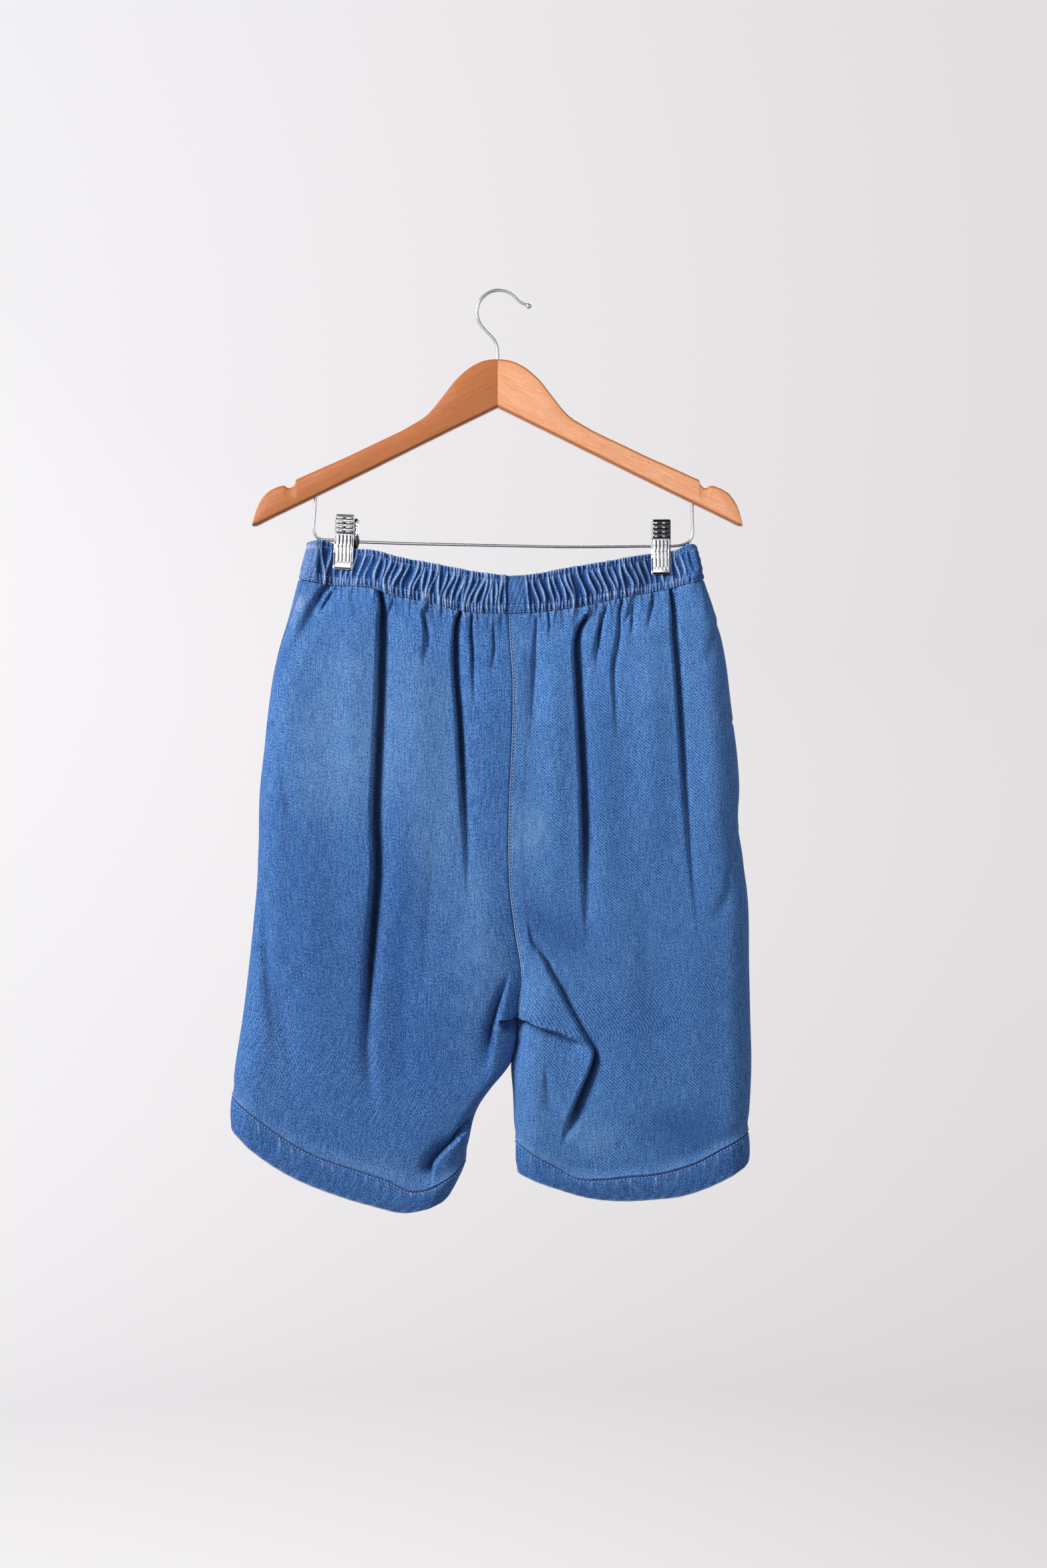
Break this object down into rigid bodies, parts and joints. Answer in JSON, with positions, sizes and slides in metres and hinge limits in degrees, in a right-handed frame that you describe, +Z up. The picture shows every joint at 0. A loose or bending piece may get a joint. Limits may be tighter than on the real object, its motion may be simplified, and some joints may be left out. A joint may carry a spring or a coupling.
{
  "type": "denim shorts on a clip hanger",
  "caption": "Pull-on denim shorts with a gathered elastic waist, hanging flat by spring clips from a contoured wooden hanger with a wire hook.",
  "frame": {"origin": "highest point of the inside of the hook, where a rail or a hand holds the hanger", "axes": "+Z up through the hook; +X across the hanger to the right as the garment's back is seen; -Y is the way the garment's back and the ends of the hanger's arms face"},
  "size_m": [0.4755, 0.051, 0.8461],
  "materials": {
    "denim": "mid-blue washed twill, matte, bleached on the gathers and seams",
    "varnished_wood": "orange-tan lacquer, glossy, straight grain",
    "bright_steel": "bright drawn wire",
    "chrome": "polished plating, pressed pattern",
    "black_plastic": "matte moulded black"
  },
  "bodies": {
    "root": {"back_left": "denim", "front_left": "denim", "back_right": "denim", "front_right": "denim", "waistband_back_left": "denim", "waistband_front_left": "denim", "waistband_back_right": "denim", "waistband_front_right": "denim", "hem_back_left": "denim", "hem_front_left": "denim", "pocket_edge_left": "denim", "hem_back_right": "denim", "hem_front_right": "denim", "pocket_edge_right": "denim", "hanger_arm_left": "varnished_wood", "hanger_arm_right": "varnished_wood", "hook": "bright_steel", "hook_ball": "bright_steel", "bar": "bright_steel", "clip_left_front_plate": "chrome", "clip_left_front_pad": "black_plastic", "clip_left_rear_plate": "chrome", "clip_left_rear_pad": "black_plastic", "clip_left_sleeve": "black_plastic", "clip_left_spring": "bright_steel", "clip_right_front_plate": "chrome", "clip_right_front_pad": "black_plastic", "clip_right_rear_plate": "chrome", "clip_right_rear_pad": "black_plastic", "clip_right_sleeve": "black_plastic", "clip_right_spring": "bright_steel"}
  },
  "joints": []
}
